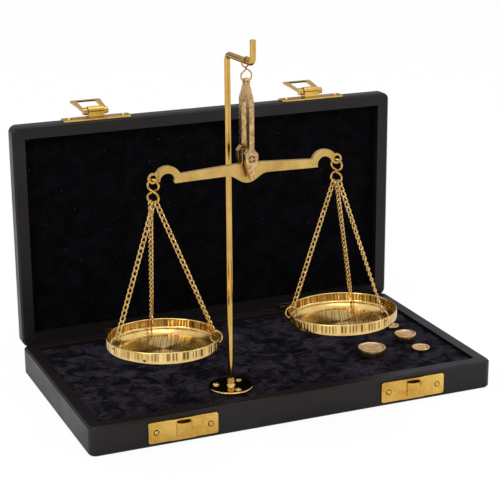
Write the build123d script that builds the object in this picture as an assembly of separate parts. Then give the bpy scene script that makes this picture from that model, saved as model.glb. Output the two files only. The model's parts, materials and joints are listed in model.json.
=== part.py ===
"""Brass weighing scale in its hinged case.

A leatherette covered case stands open.  A brass post screwed to its bed carries,
on S-hooks, the shears, the beam, two pans on curb chains, and four loose weights
lie beside them.  Millimetres, +X right, +Y back, +Z up, origin under the case.
"""
import os
from math import acos, atan2, cos, degrees, pi, radians, sin, sqrt

from build123d import *

# Case
CASE_W = 210.0            # outside width
CASE_D = 116.0            # outside depth
BASE_H = 14.5             # height of the bottom tray
LID_T = 8.0               # depth of the lid tray
WALL = 6.5                # wall thickness of both trays
COVER_T = 0.6             # leatherette skin
BASE_FLOOR = 2.0          # wooden floor of the bottom tray
LID_PANEL = 1.4           # wooden panel of the lid
CORNER_R = 3.8            # vertical corners
EDGE_R = 0.9              # softened outer edges
LID_GAP = 0.3             # between the two rims when shut
STOP_GAP = 0.3            # between the two rear bevels when open
VELVET_T = 1.2            # lining cloth with its backing
VELVET_SINK = 1.5         # lining lies this far under the rim of the tray
CARD_T = 0.6              # card behind the lid lining
LINING_GAP = 0.3          # linings stand clear of the walls
PILE_R = 0.5              # rolled edge of the linings

# Hinges on the back
PIN_INSET = 1.2           # hinge axis in from the rear face
LEAF_T = 0.6
LEAF_L = 7.0              # leaf length from the hinge axis
HINGE_X = 50.0            # hinges stand this far from the middle
HINGE_W = 22.0
HINGE_PIN_R = 0.8
HINGE_CLEAR = 0.3
KNUCKLE_GAP = 0.2
KNUCKLE_SIDES = 16        # flats round the knuckles and the hasp's ears
RUN_CLEAR = 0.05          # running fit of pins
NAIL_SIDE = 0.9           # square shank of the small nails
NAIL_L = 4.0
NAIL_FIT = 0.03
HINGE_NAIL_X = 7.0        # nails from the middle of a leaf
HINGE_NAIL_HEAD = 1.1

# Catches on the front, latches on the lid
LATCH_X = 60.0            # both latches stand this far from the middle
CATCH_W = 34.5
CATCH_H = 10.5
PLATE_T = 0.8
PLATE_R = 0.8
CATCH_NAIL_X = 13.4
NAIL_HEAD_R = 1.5
NAIL_HEAD_H = 0.8
CATCH_RISE = 0.4          # middle of the plate pressed forward
CATCH_RISE_W = 13.0
HOOD_W = 7.6              # pressed-out hood that takes the hasp
HOOD_H = 7.2
HOOD_OUT = 2.5
HOOD_T = 0.6
LATCH_W = 36.0
LATCH_H = 7.0
LATCH_NAIL_X = 14.3
BARREL_W = 8.2            # rolled barrel that holds the hasp pin
BARREL_R = 2.5
BARREL_OFF = 2.8          # pin axis off the face of the plate
BARREL_RISE = 1.35        # pin axis above the middle of the plate
HASP_PIN_R = 0.65
HASP_L = 18.3
HASP_ROOT_W = 13.2
HASP_TIP_W = 16.5
HASP_T = 0.8
EAR_R = 1.7
EAR_GAP = 0.25            # hasp ears beside the barrel
WINDOW_W = 10.0
WINDOW_START = 5.4        # window from the pin axis
TIP_BAR = 1.6             # bar left at the tip of the hasp
HASP_REST = 173.6         # hasp thrown back, degrees from shut

# Post
SCALE_X = -25.6           # S-hook, shears and beam hang on this line
POST_X = -26.5
POST_Y = -34.3
POST_R = 1.4
POST_SIDES = 20           # flats round the bent rod
ARM_Z = 175.0             # centre of the level arm
ARM_REACH = 20.0          # post to the place of the S-hook
TIP_REACH = 27.0          # post to the upturned tip
TIP_RISE = 10.4
BEND_R = 3.0
FLANGE_R = 10.8
FLANGE_SIDES = 48         # flats round the flange
FLANGE_T = 1.2
BOSS_R = 1.95
BOSS_WAIST_R = 1.65
BOSS_H = 3.6
SOCKET_FIT = 0.03
SCREW_PITCH_R = 7.2
SCREW_HEAD_R = 1.6
SCREW_HEAD_H = 0.7
SCREW_R = 0.8
SCREW_L = 7.0
SCREW_TURN = 37.0         # first flange screw, degrees from +X

# Top S-hook and shears
TOP_WIRE_R = 0.35
TOP_UPPER_R = 2.2         # loop radii to the wire centre
TOP_LOWER_R = 2.6
TOP_SPAN = 6.1            # between the two loop centres
WIRE_PLAY = 0.06          # between a wire and what hangs on it
EYE_R = 0.85
LUG_R = 1.75
FORK_X = 2.3              # width of the fork's bars
FORK_Y = 3.2              # depth of the fork's bars
FORK_GAP = 5.8            # clear space between the two bars
LUG_TO_YOKE = 8.0         # eye to the foot of the yoke
LUG_TO_PIVOT = 34.0       # eye to the knife edge
SHIELD_W = 6.1
SHIELD_UP = 4.5           # shield above the knife edge
SHIELD_DOWN = 9.6         # shield below the knife edge
BEARING_R = 1.55
KNIFE_SIDE = 2.0
KNIFE_OVER = 0.25         # knife edge beyond the shields

# Beam, heights from the knife edge
BEAM_HALF = 44.8          # middle to the end holes
BEAM_T = 2.2
TIP_T = 1.0
ARM_TOP_MID = -2.5
ARM_TOP_END = -4.6
ARM_FOOT = -8.4
BELLY_LOW = -11.9
BELLY_W = 10.0
HUMP_R = 2.6
HOLE_DROP = 5.4
HOLE_R = 1.45
LOBE_R = 2.45
NECK_X = 6.5              # neck centre, in from the end holes
NECK_DROP = 7.1
NECK_R = 6.8
NECK_BORE_R = 3.5

# End S-hooks, chains and pans
END_WIRE_R = 0.475
END_LOOP_R = 2.6
END_SPAN = 5.8
END_PLAY = 0.12           # the end wires lie this free in the beam's holes
END_TURN = -45.0          # plane of the end hooks, degrees from +X
LINK_R = 0.33             # wire of the links
LINK_HALF_W = 0.88        # half width of a link to the wire centre
LINK_PITCH = 2.56         # nominal, the count is rounded to fit
LINK_TWIST = 90.0         # end to end
LINK_GAP = 0.08
LINK_PLAY = 0.1           # top link free on the hook's wire
LINK_STEPS = 6            # bends in the outline of a link
CHAIN_SPREAD = 34.0       # top links apart along the lower loop, degrees
PAN_R = 26.0
PAN_H = 7.2
PAN_SIDES = 60            # flats round the pans
PAN_WALL = 0.8
PAN_FLOOR = 0.8
PAN_FLAT_R = 18.2         # flat middle of the floor
PAN_SLOPE = 1.4           # rise of the shoulder round it
PAN_FOOT = 2.1            # rounding between the outer wall and the shoulder
PAN_COVE = 1.4            # rounding between the inner wall and the shoulder
PAN_DROP = 61.3           # lower loop's wire to the rim plane
PAN_OFF_X = 2.4           # each pan hangs a little aside of its hook
PAN_OFF_Y = -2.2
PAN_TILT = 0.8            # inner side of each pan hangs low
PAN_LEAN = 2.3            # and its back side too
RIM_HOLE_R = 0.75
RIM_HOLE_DROP = 1.8
RING_R = 2.7
RING_WIRE_R = 0.35
LEFT_HOLES = (-35.0, 83.0, 192.0)      # rim holes, degrees from +X
RIGHT_HOLES = (-64.0, 54.0, 171.0)

# Loose weights: place on the bed, radius, height
WEIGHT_A = (55.5, -23.0, 7.1, 4.2)
WEIGHT_B = (81.3, -10.8, 5.75, 3.6)
WEIGHT_C = (82.0, -26.4, 4.7, 1.4)
WEIGHT_D = (83.2, 6.7, 3.5, 2.0)
WEIGHT_WALL = 0.9         # rim round the dished top
WEIGHT_DISH = 0.35
WEIGHT_SIDES = 40         # flats round the weights

UP = (Align.CENTER, Align.CENTER, Align.MIN)
ALONG_X = Rot(0, 90, 0)
ALONG_Y = Rot(90, 0, 0)


def block(w, d, h, r):
    """Upright block with rounded vertical corners, standing on z = 0."""
    return extrude(RectangleRounded(w, d, r), h)


def softened(solid, r):
    """Take the edge off the top and bottom rims of an upright block."""
    rims = solid.faces().sort_by(Axis.Z)
    return chamfer(rims[0].outer_wire().edges() + rims[-1].outer_wire().edges(), r)


def rod_x(r, length, x, y, z):
    """Cylinder along X centred at a point."""
    return Pos(x, y, z) * ALONG_X * Cylinder(r, length)


def rod_y(r, y0, y1, x, z):
    """Cylinder along Y between two depths."""
    return Pos(x, (y0 + y1) / 2, z) * ALONG_Y * Cylinder(r, abs(y1 - y0))


def span(x, y, z):
    """Box from three (low, high) pairs."""
    size = [abs(b - a) for a, b in (x, y, z)]
    mid = [(a + b) / 2 for a, b in (x, y, z)]
    return Pos(*mid) * Box(*size)


def group(shapes):
    """Separate solids kept together as one piece."""
    return Compound([solid for shape in shapes for solid in shape.solids()])


def outline(*pts):
    """Flat outline from its corners, always facing the same way."""
    area = sum(a[0] * b[1] - b[0] * a[1] for a, b in zip(pts, pts[1:] + pts[:1]))
    return Polygon(*(pts if area > 0 else pts[::-1]), align=None)


def turned(profile, sides):
    """Turned piece from (radius, height) pairs, bottom to top, as many-sided frusta."""
    return loft([Pos(0, 0, z) * RegularPolygon(r, sides) for r, z in profile], ruled=True)


def sag(r, half):
    """How far an arc of radius r falls away over a half width."""
    return r - sqrt(r * r - half * half)


def facets(rings, closed):
    """Solid from equal rings of points joined by flat triangles."""
    n = len(rings[0])
    faces = []

    def tri(*pts):
        faces.append(Face(Wire.make_polygon(pts, close=True)))

    pairs = len(rings) if closed else len(rings) - 1
    for i in range(pairs):
        low, high = rings[i], rings[(i + 1) % len(rings)]
        for j in range(n):
            k = (j + 1) % n
            tri(low[j], low[k], high[k])
            tri(low[j], high[k], high[j])
    if not closed:
        for ring, turn in ((rings[0], -1), (rings[-1], 1)):
            mid = sum(ring, Vector(0, 0, 0)) / n
            for j in range(n):
                tri(*(mid, ring[j], ring[(j + 1) % n])[::turn])
    return Solid(Shell(faces))


def wire_rings(points, r, sides, closed, side_hint):
    """Polygon rings square to a bent wire; side_hint steers the first corner."""
    count = len(points)
    rings = []
    for i, p in enumerate(points):
        before = points[i - 1] if closed or i else p
        after = points[(i + 1) % count] if closed or i < count - 1 else p
        along = (after - before).normalized()
        across = (side_hint - along * side_hint.dot(along)).normalized()
        other = along.cross(across)
        ring = []
        for j in range(sides):
            t = 2 * pi * (j + 0.5) / sides
            ring.append(p + (across * cos(t) + other * sin(t)) * r)
        rings.append(ring)
    return rings


def s_hook_path(r_up, r_low, gap, wire_r, steps):
    """Centreline of a figure-eight hook in the X-Z plane, lower loop at the origin.

    Both loops are arcs that leave the shared diagonal at its tangent points, and the
    free ends run back to its middle, one wire in front of it and one behind.
    """
    lean = acos((r_up + r_low) / gap)
    path = []
    for r, z, start, side in ((r_up, gap, -pi / 2 - lean, 1), (r_low, 0.0, pi / 2 - lean, -1)):
        turn = 2 * pi - 2 * lean
        arc = []
        for i in range(steps + 1):
            f = i / steps
            t = start - f * turn
            off = side * 2.3 * wire_r * max(0.0, (f - 0.72) / 0.28)
            arc.append(Vector(r * cos(t), off, z + r * sin(t)))
        arc.append(Vector(0, side * 2.3 * wire_r, gap * r_low / (r_up + r_low)))
        path.append(arc)
    return path[0][::-1] + path[1]


def s_hook(r_up, r_low, gap, wire_r, turn):
    """Bent wire hook; turn is the direction of its plane from +X."""
    path = s_hook_path(r_up, r_low, gap, wire_r, 11)
    rings = wire_rings(path, wire_r, 6, False, Vector(0, 1, 0))
    return Rot(0, 0, turn) * facets(rings, False)


# Case: places that several pieces share
PIN_Y = CASE_D / 2 - PIN_INSET
PIN_Z = BASE_H + LID_GAP / 2
KNUCKLE_R = PIN_INSET + LEAF_T
LEAF_START = KNUCKLE_R + HINGE_CLEAR
KNUCKLE_ROOM = sqrt(KNUCKLE_R ** 2 + PIN_INSET ** 2) + HINGE_CLEAR
BEVEL = PIN_INSET - LID_GAP / 2 + STOP_GAP / sqrt(2)
LID_Z = BASE_H + LID_GAP
FRONT = -CASE_D / 2
REAR = CASE_D / 2
BED_Z = BASE_H - VELVET_SINK
CAVITY = (CASE_W - 2 * WALL, CASE_D - 2 * WALL)
WOOD_CAVITY = (CAVITY[0] + 2 * COVER_T, CAVITY[1] + 2 * COVER_T)     # the skin turns in over the rims


def opened(shape):
    """Swing a piece of the lid from shut to the photographed open place."""
    return Pos(0, PIN_Y, PIN_Z) * Rot(-90, 0, 0) * Pos(0, -PIN_Y, -PIN_Z) * shape


def bevel_cut(depth, z_edge):
    """Wedge that takes the rear rim edge off at 45 degrees."""
    side = depth * sqrt(2)
    bar = Box(2 * CASE_W, side, side)
    return Pos(0, REAR, z_edge) * Rot(45, 0, 0) * bar


def knuckle_room():
    """Room that both trays leave round the hinge knuckles."""
    room = Part()
    for x in (-HINGE_X, HINGE_X):
        room += Pos(x, PIN_Y, PIN_Z) * Box(HINGE_W + 2 * HINGE_CLEAR, 2 * KNUCKLE_ROOM, 2 * KNUCKLE_ROOM)
    return room


def nail(head_r, head_h):
    """Small nail with a bevelled head standing on z = 0 and a square shank below."""
    head = extrude(RegularPolygon(head_r, 8), head_h, taper=30)
    return head + Pos(0, 0, -NAIL_L) * Box(NAIL_SIDE, NAIL_SIDE, NAIL_L + head_h / 2, align=UP)


def nail_hole():
    side = NAIL_SIDE + 2 * NAIL_FIT
    return Pos(0, 0, -NAIL_L - NAIL_FIT) * Box(side, side, 2 * NAIL_L, align=UP)


FACE_FRONT = Rot(90, 0, 0)       # stands a piece on the front face
FACE_BACK = Rot(-90, 0, 0)       # stands a piece on the rear face

# Where the nails go: catches, latches, and both leaves of the hinges
CATCH_Z = BASE_H / 2
LATCH_Z = LID_Z + LID_T / 2
HINGE_NAIL_DROP = (LEAF_START + LEAF_L) / 2


def row(xs, dx):
    return [x + s * dx for x in xs for s in (-1, 1)]


catch_at = [Pos(x, FRONT - PLATE_T, CATCH_Z) * FACE_FRONT for x in row((-LATCH_X, LATCH_X), CATCH_NAIL_X)]
latch_at = [Pos(x, FRONT - PLATE_T, LATCH_Z) * FACE_FRONT for x in row((-LATCH_X, LATCH_X), LATCH_NAIL_X)]
hinge_xs = row((-HINGE_X, HINGE_X), HINGE_NAIL_X)
base_leaf_at = [Pos(x, REAR + LEAF_T, PIN_Z - HINGE_NAIL_DROP) * FACE_BACK for x in hinge_xs]
lid_leaf_at = [Pos(x, REAR + LEAF_T, PIN_Z + HINGE_NAIL_DROP) * FACE_BACK for x in hinge_xs]


def driven(places, head_r, head_h):
    return group([place * nail(head_r, head_h) for place in places])


def holes(places):
    out = Part()
    for place in places:
        out += place * nail_hole()
    return out


# Bottom tray: wooden core, leatherette, board, velvet bed
base_hollow = Pos(0, 0, COVER_T + BASE_FLOOR) * Box(*CAVITY, BASE_H, align=UP)
base_nail_holes = holes(catch_at) + holes(base_leaf_at)
base_outer = softened(block(CASE_W, CASE_D, BASE_H, CORNER_R), EDGE_R)
base_outer -= bevel_cut(BEVEL, BASE_H)
base_block = Pos(0, 0, COVER_T) * block(
    CASE_W - 2 * COVER_T, CASE_D - 2 * COVER_T, BASE_H - 2 * COVER_T, CORNER_R - COVER_T)
base_block -= bevel_cut(BEVEL + COVER_T * sqrt(2), BASE_H)
base_block -= Pos(0, 0, COVER_T + BASE_FLOOR) * Box(*WOOD_CAVITY, BASE_H, align=UP)
base_core = base_block - knuckle_room() - base_nail_holes
base_cover = base_outer - base_block - base_hollow - knuckle_room() - base_nail_holes

LINING_W = CAVITY[0] - 2 * LINING_GAP
LINING_D = CAVITY[1] - 2 * LINING_GAP
BOARD_Z = COVER_T + BASE_FLOOR
VELVET_Z = BED_Z - VELVET_T

# Flange of the post, with its screw places
SCREWS = [SCREW_TURN + 120.0 * i for i in range(3)]
FLANGE_TOP = BED_Z + FLANGE_T
post_at = Pos(POST_X, POST_Y, 0)
screw_at = [
    post_at * Pos(SCREW_PITCH_R * cos(radians(a)), SCREW_PITCH_R * sin(radians(a)), FLANGE_TOP)
    for a in SCREWS]
screw_holes = Part()
for place in screw_at:
    screw_holes += place * Pos(0, 0, -SCREW_L) * extrude(RegularPolygon(SCREW_R + NAIL_FIT, 8), 2 * SCREW_L)

base_board = Pos(0, 0, BOARD_Z) * Box(LINING_W, LINING_D, VELVET_Z - BOARD_Z, align=UP) - screw_holes
base_velvet = Pos(0, 0, VELVET_Z) * Box(LINING_W, LINING_D, VELVET_T, align=UP)
base_velvet = fillet(base_velvet.faces().sort_by(Axis.Z)[-1].edges(), PILE_R) - screw_holes

# Lid tray, built shut and swung open
LID_HOLLOW = LID_T - COVER_T - LID_PANEL
lid_hollow = Pos(0, 0, LID_Z + LID_HOLLOW - LID_T) * Box(*CAVITY, LID_T, align=UP)
lid_nail_holes = holes(latch_at) + holes(lid_leaf_at)
lid_outer = Pos(0, 0, LID_Z) * softened(block(CASE_W, CASE_D, LID_T, CORNER_R), EDGE_R)
lid_outer -= bevel_cut(BEVEL, LID_Z)
lid_block = Pos(0, 0, LID_Z + COVER_T) * block(
    CASE_W - 2 * COVER_T, CASE_D - 2 * COVER_T, LID_T - 2 * COVER_T, CORNER_R - COVER_T)
lid_block -= bevel_cut(BEVEL + COVER_T * sqrt(2), LID_Z)
lid_block -= Pos(0, 0, LID_Z + LID_HOLLOW - LID_T) * Box(*WOOD_CAVITY, LID_T, align=UP)
lid_core = opened(lid_block - knuckle_room() - lid_nail_holes)
lid_cover = opened(lid_outer - lid_block - lid_hollow - knuckle_room() - lid_nail_holes)
LID_CARD_Z = LID_Z + LID_HOLLOW - CARD_T
lid_card = opened(Pos(0, 0, LID_CARD_Z) * Box(LINING_W, LINING_D, CARD_T, align=UP))
lid_velvet = Pos(0, 0, LID_CARD_Z - VELVET_T) * Box(LINING_W, LINING_D, VELVET_T, align=UP)
lid_velvet = opened(fillet(lid_velvet.faces().sort_by(Axis.Z)[0].edges(), PILE_R))


# Hinges: each has a base leaf with the outer knuckles and a lid leaf with the middle one
def hinge_leaf(x, up):
    third = HINGE_W / 3
    near, far = PIN_Z + up * LEAF_START, PIN_Z + up * LEAF_L
    leaf = span((x - HINGE_W / 2, x + HINGE_W / 2), (REAR, REAR + LEAF_T), (near, far))
    for place in ((-third, third) if up < 0 else (0.0,)):
        width = third - KNUCKLE_GAP
        barrel = extrude(RegularPolygon(KNUCKLE_R, KNUCKLE_SIDES), width / 2, both=True)
        leaf += Pos(x + place, PIN_Y, PIN_Z) * ALONG_X * barrel
        leaf += span((x + place - width / 2, x + place + width / 2), (REAR, REAR + LEAF_T), (PIN_Z, near))
    fit = 0.0 if up > 0 else RUN_CLEAR
    leaf -= rod_x(HINGE_PIN_R + fit, 2 * HINGE_W, x, PIN_Y, PIN_Z)
    leaf -= holes(base_leaf_at if up < 0 else lid_leaf_at)
    return leaf


hinges = {side: HINGE_X * s for side, s in (("left", -1), ("right", 1))}
hinge_base = {side: hinge_leaf(x, -1) for side, x in hinges.items()}
hinge_lid = {side: opened(hinge_leaf(x, 1)) for side, x in hinges.items()}
hinge_pin = {side: rod_x(HINGE_PIN_R, HINGE_W, x, PIN_Y, PIN_Z) for side, x in hinges.items()}


# Catch plates on the front of the tray
def hood_shape(shrink, rise):
    """Pressed pocket with cut-off corners, deep at the top and running out below."""
    half, out = HOOD_W / 2 - shrink, HOOD_OUT + CATCH_RISE - shrink
    top, low = HOOD_H / 2 + rise, shrink - HOOD_H / 2
    side = outline((0, low), (-out / 3, low), (-out, top), (0, top))
    plan = outline(
        (-half, 0), (-half, -out / 2), (-half / 2, -out), (half / 2, -out), (half, -out / 2), (half, 0))
    wedge = Pos(-half, 0, 0) * extrude(Plane.YZ * side, 2 * half)
    return wedge & Pos(0, 0, low) * extrude(plan, top - low)


def plate_blank(w, h):
    """Sheet plate with clipped corners, its back on the plane y = 0."""
    sheet = Rectangle(w, h)
    return extrude(Plane.XZ * chamfer(sheet.vertices(), PLATE_R), PLATE_T)


def catch_plate(x):
    plate = plate_blank(CATCH_W, CATCH_H)
    low, high = CATCH_RISE_W / 2, CATCH_RISE_W / 2 - 3 * CATCH_RISE
    rise = outline(
        (-low, -PLATE_T), (low, -PLATE_T), (high, -PLATE_T - CATCH_RISE), (-high, -PLATE_T - CATCH_RISE))
    plate += Pos(0, 0, -CATCH_H / 2) * extrude(rise, CATCH_H)
    front = span((-CATCH_W, CATCH_W), (-CATCH_W, -PLATE_T / 2), (-CATCH_W, CATCH_W))
    plate += (Pos(0, -PLATE_T, 0) * hood_shape(0.0, 0.0)) & front
    pocket = Pos(0, -PLATE_T, 0) * hood_shape(HOOD_T, HOOD_T)
    plate -= pocket & front
    return Pos(x, FRONT, CATCH_Z) * plate - holes(catch_at)


# Latch plates, pins and hasps of the lid, built shut
HASP_Y = FRONT - PLATE_T - BARREL_OFF
HASP_Z = LATCH_Z + BARREL_RISE
EAR_W = (HASP_ROOT_W - BARREL_W) / 2 - EAR_GAP


def latch_plate(x):
    plate = Pos(x, FRONT, LATCH_Z) * plate_blank(LATCH_W, LATCH_H)
    plate += rod_x(BARREL_R, BARREL_W, x, HASP_Y, HASP_Z)
    plate += span((x - BARREL_W / 2, x + BARREL_W / 2), (FRONT - PLATE_T / 2, HASP_Y),
                  (HASP_Z - BARREL_R, HASP_Z + BARREL_R))
    plate -= rod_x(HASP_PIN_R, 2 * LATCH_W, x, HASP_Y, HASP_Z)
    return opened(plate - holes(latch_at))


def hasp_pin(x):
    return opened(rod_x(HASP_PIN_R, HASP_ROOT_W, x, HASP_Y, HASP_Z))


def hasp(x):
    root, tip = HASP_ROOT_W / 2, HASP_TIP_W / 2
    leaf = outline((-root, 0), (root, 0), (tip, -HASP_L), (-tip, -HASP_L))
    leaf = chamfer(leaf.vertices().sort_by(Axis.Y)[:2], PLATE_R)
    window = (WINDOW_START + HASP_L - TIP_BAR) / 2
    leaf -= Pos(0, -window) * Rectangle(WINDOW_W, HASP_L - TIP_BAR - WINDOW_START)
    room = BARREL_R + HINGE_CLEAR
    leaf -= Rectangle(BARREL_W + 2 * EAR_GAP, 2 * room)
    plate = Pos(0, HASP_T / 2, 0) * extrude(Plane.XZ * leaf, HASP_T)
    for side in (-1, 1):
        ear = extrude(RegularPolygon(EAR_R, KNUCKLE_SIDES), EAR_W / 2, both=True)
        plate += Pos(side * (root - EAR_W / 2), 0, 0) * ALONG_X * ear
    plate -= rod_x(HASP_PIN_R + RUN_CLEAR, 2 * HASP_ROOT_W, 0, 0, 0)
    return opened(Pos(x, HASP_Y, HASP_Z) * Rot(-HASP_REST, 0, 0) * plate)


latches = {side: LATCH_X * s for side, s in (("left", -1), ("right", 1))}

# Post: one bent rod in a flange with a waisted boss
HANG_Y = POST_Y - ARM_REACH
TIP_X = POST_X + (SCALE_X - POST_X) * TIP_REACH / ARM_REACH
TIP_Y = POST_Y - TIP_REACH
post_path = FilletPolyline(
    (POST_X, POST_Y, BED_Z), (POST_X, POST_Y, ARM_Z),
    (TIP_X, TIP_Y, ARM_Z), (TIP_X, TIP_Y, ARM_Z + TIP_RISE), radius=BEND_R)
post = sweep(Plane(origin=(POST_X, POST_Y, BED_Z)) * RegularPolygon(POST_R, POST_SIDES), path=post_path)
post = chamfer(post.faces().sort_by(Axis.Z)[-1].edges(), POST_R / 4)

flange = turned([(FLANGE_R, 0), (FLANGE_R, FLANGE_T / 2), (FLANGE_R - FLANGE_T / 2, FLANGE_T)], FLANGE_SIDES)
flange += turned(
    [(BOSS_R, FLANGE_T / 2), (BOSS_R, FLANGE_T), (BOSS_WAIST_R, FLANGE_T + BOSS_H * 0.45),
     (BOSS_R, FLANGE_T + BOSS_H * 0.7), (BOSS_WAIST_R, FLANGE_T + BOSS_H)], POST_SIDES)
flange -= extrude(RegularPolygon(POST_R + SOCKET_FIT, POST_SIDES), 4 * BOSS_H, both=True)
flange = post_at * Pos(0, 0, BED_Z) * flange - screw_holes


def screw():
    head = extrude(RegularPolygon(SCREW_HEAD_R, 8), SCREW_HEAD_H, taper=30)
    return head + Pos(0, 0, -SCREW_L) * extrude(RegularPolygon(SCREW_R, 8), SCREW_L)


flange_screws = group([place * screw() for place in screw_at])

# Top S-hook on the arm
TOP_WIRE_Z = ARM_Z + POST_R + TOP_WIRE_R + WIRE_PLAY
TOP_LOOP_Z = TOP_WIRE_Z - TOP_UPPER_R - TOP_SPAN
top_hook = Pos(SCALE_X, HANG_Y, TOP_LOOP_Z) * s_hook(TOP_UPPER_R, TOP_LOWER_R, TOP_SPAN, TOP_WIRE_R, 0.0)
SHEAR_WIRE_Z = TOP_LOOP_Z - TOP_LOWER_R

# Shears: lug, yoke and two bars in one, with shield ends that bear the knife edge
EYE_Z = SHEAR_WIRE_Z - EYE_R + TOP_WIRE_R + WIRE_PLAY + sag(TOP_LOWER_R, FORK_X / 2)
PIVOT_Z = EYE_Z - LUG_TO_PIVOT
IN_Y = FORK_GAP / 2
OUT_Y = IN_Y + FORK_Y
hang_at = Pos(SCALE_X, HANG_Y, PIVOT_Z)


def shears():
    top, yoke = LUG_TO_PIVOT, LUG_TO_PIVOT - LUG_TO_YOKE
    side = outline(
        (-LUG_R * 0.9, top - LUG_R * 0.4), (-OUT_Y, yoke), (-OUT_Y, 0), (OUT_Y, 0), (OUT_Y, yoke),
        (LUG_R * 0.9, top - LUG_R * 0.4))
    side += Pos(0, top) * Circle(LUG_R)
    side -= Pos(0, top) * Circle(EYE_R)
    arch = Rectangle(2 * IN_Y, 2 * (yoke - IN_Y)) + Pos(0, yoke - IN_Y) * Circle(IN_Y)
    side -= arch
    fork = Pos(-FORK_X / 2, 0, 0) * extrude(Plane.YZ * side, FORK_X)
    wide, high = SHIELD_W / 2, SHIELD_UP
    kite = outline(
        (-FORK_X / 2, high), (-wide, high - FORK_X), (-wide, 0), (-wide / 6, -SHIELD_DOWN),
        (wide / 6, -SHIELD_DOWN), (wide, 0), (wide, high - FORK_X), (FORK_X / 2, high))
    for y in (-IN_Y, OUT_Y):
        fork += Pos(0, y, 0) * extrude(Plane.XZ * kite, FORK_Y)
    return hang_at * (fork - rod_y(BEARING_R, -CASE_D, CASE_D, 0, 0))


knife_bar = Rot(0, 45, 0) * Box(KNIFE_SIDE, 2 * (OUT_Y + KNIFE_OVER), KNIFE_SIDE)
knife_edge = hang_at * knife_bar


# Beam: flat arms with a belly, swan necks and rounded lobes with the end holes
def beam():
    foot = BEAM_HALF - NECK_X - NECK_BORE_R
    shape = Sketch()
    for side in (-1, 1):
        arm = outline(
            (0, ARM_TOP_MID), (side * (foot + NECK_BORE_R / 2), ARM_TOP_END), (side * foot, ARM_FOOT),
            (side * BELLY_W, ARM_FOOT + 0.5), (0, ARM_FOOT + 0.5))
        neck_at = Pos(side * (BEAM_HALF - NECK_X), -NECK_DROP)
        neck = neck_at * (Circle(NECK_R) - Pos(0, -NECK_R) * Rectangle(2 * NECK_R, 2 * NECK_R))
        lobe = Pos(side * BEAM_HALF, -HOLE_DROP) * Circle(LOBE_R)
        shape += arm + neck + lobe
        shape -= neck_at * Circle(NECK_BORE_R)
        shape -= Pos(side * BEAM_HALF, -HOLE_DROP) * Circle(HOLE_R)
    rim = Spline(
        (-BELLY_W, ARM_FOOT + 0.5), (-BELLY_W / 2, (ARM_FOOT + 0.5 + BELLY_LOW) / 2), (0, BELLY_LOW),
        (BELLY_W / 2, (ARM_FOOT + 0.5 + BELLY_LOW) / 2), (BELLY_W, ARM_FOOT + 0.5),
        tangents=((1, 0), (1, 0)))
    shape += make_face(rim + Line((BELLY_W, ARM_FOOT + 0.5), (-BELLY_W, ARM_FOOT + 0.5)))
    shape += Circle(HUMP_R) + Pos(0, ARM_TOP_MID - HUMP_R / 2) * Rectangle(
        2 * HUMP_R, 2 * abs(ARM_TOP_MID) + HUMP_R, align=(Align.CENTER, Align.MIN))
    plate = Pos(0, BEAM_T / 2, 0) * extrude(Plane.XZ * shape, BEAM_T)
    for side in (-1, 1):
        for face in (-1, 1):
            edge = side * (BEAM_HALF - LOBE_R)
            plate -= span((edge, edge + side * CASE_W), (face * TIP_T / 2, face * BEAM_T),
                          (-CASE_W, CASE_W))
    return hang_at * (plate - knife_bar)


# End hooks hang in the beam's holes, the left one the mirror of the right
def wire_seat():
    """Depth under the hole's centre where the curved wire, crossing aslant, clears the edge."""
    slant = abs(sin(radians(END_TURN)))
    fall = sag(END_LOOP_R, TIP_T / 2 / slant)
    shift = TIP_T / 2 / abs(sin(radians(END_TURN)) / cos(radians(END_TURN)))
    room = []
    for i in range(10):
        t = pi / 2 * i / 9
        x = min(shift + END_WIRE_R / slant * cos(t), HOLE_R)
        room.append(sqrt(HOLE_R ** 2 - x ** 2) - END_WIRE_R * sin(t) - fall)
    return min(room) - END_PLAY


END_WIRE_Z = PIVOT_Z - HOLE_DROP - wire_seat()
END_LOOP_Z = END_WIRE_Z - END_LOOP_R - END_SPAN
PAN_WIRE_Z = END_LOOP_Z - END_LOOP_R
ENDS = {"left": SCALE_X - BEAM_HALF, "right": SCALE_X + BEAM_HALF}


def end_hook(side):
    hook = s_hook(END_LOOP_R, END_LOOP_R, END_SPAN, END_WIRE_R, 0.0)
    if side == "right":
        hook = mirror(hook, about=Plane.YZ)
    return Pos(ENDS[side], HANG_Y, END_LOOP_Z) * Rot(0, 0, END_TURN) * hook


# Pans, their rim rings and their chains
RIM_Z = PAN_WIRE_Z - PAN_DROP
TILT = {"left": PAN_TILT, "right": -PAN_TILT}
HOLES = {"left": LEFT_HOLES, "right": RIGHT_HOLES}


def pan_place(side):
    return Pos(ENDS[side] + PAN_OFF_X, HANG_Y + PAN_OFF_Y, RIM_Z) * Rot(-PAN_LEAN, TILT[side], 0)


def pan(side):
    floor, under, inner = PAN_FLOOR - PAN_H, PAN_SLOPE - PAN_H, PAN_R - PAN_WALL
    bowl = turned(
        [(PAN_FLAT_R, -PAN_H), (PAN_R - PAN_FOOT, under), (PAN_R, under + PAN_FOOT), (PAN_R, 0)], PAN_SIDES)
    bowl -= turned(
        [(PAN_FLAT_R, floor), (inner - PAN_COVE, under + PAN_FLOOR), (inner, under + PAN_FLOOR + PAN_COVE),
         (inner, PAN_H)], PAN_SIDES)
    for a in HOLES[side]:
        bore = extrude(RegularPolygon(RIM_HOLE_R, 6), 3 * PAN_WALL, both=True)
        bowl -= Rot(0, 0, a) * Pos(PAN_R, 0, -RIM_HOLE_DROP) * ALONG_X * bore
    return pan_place(side) * bowl


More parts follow.
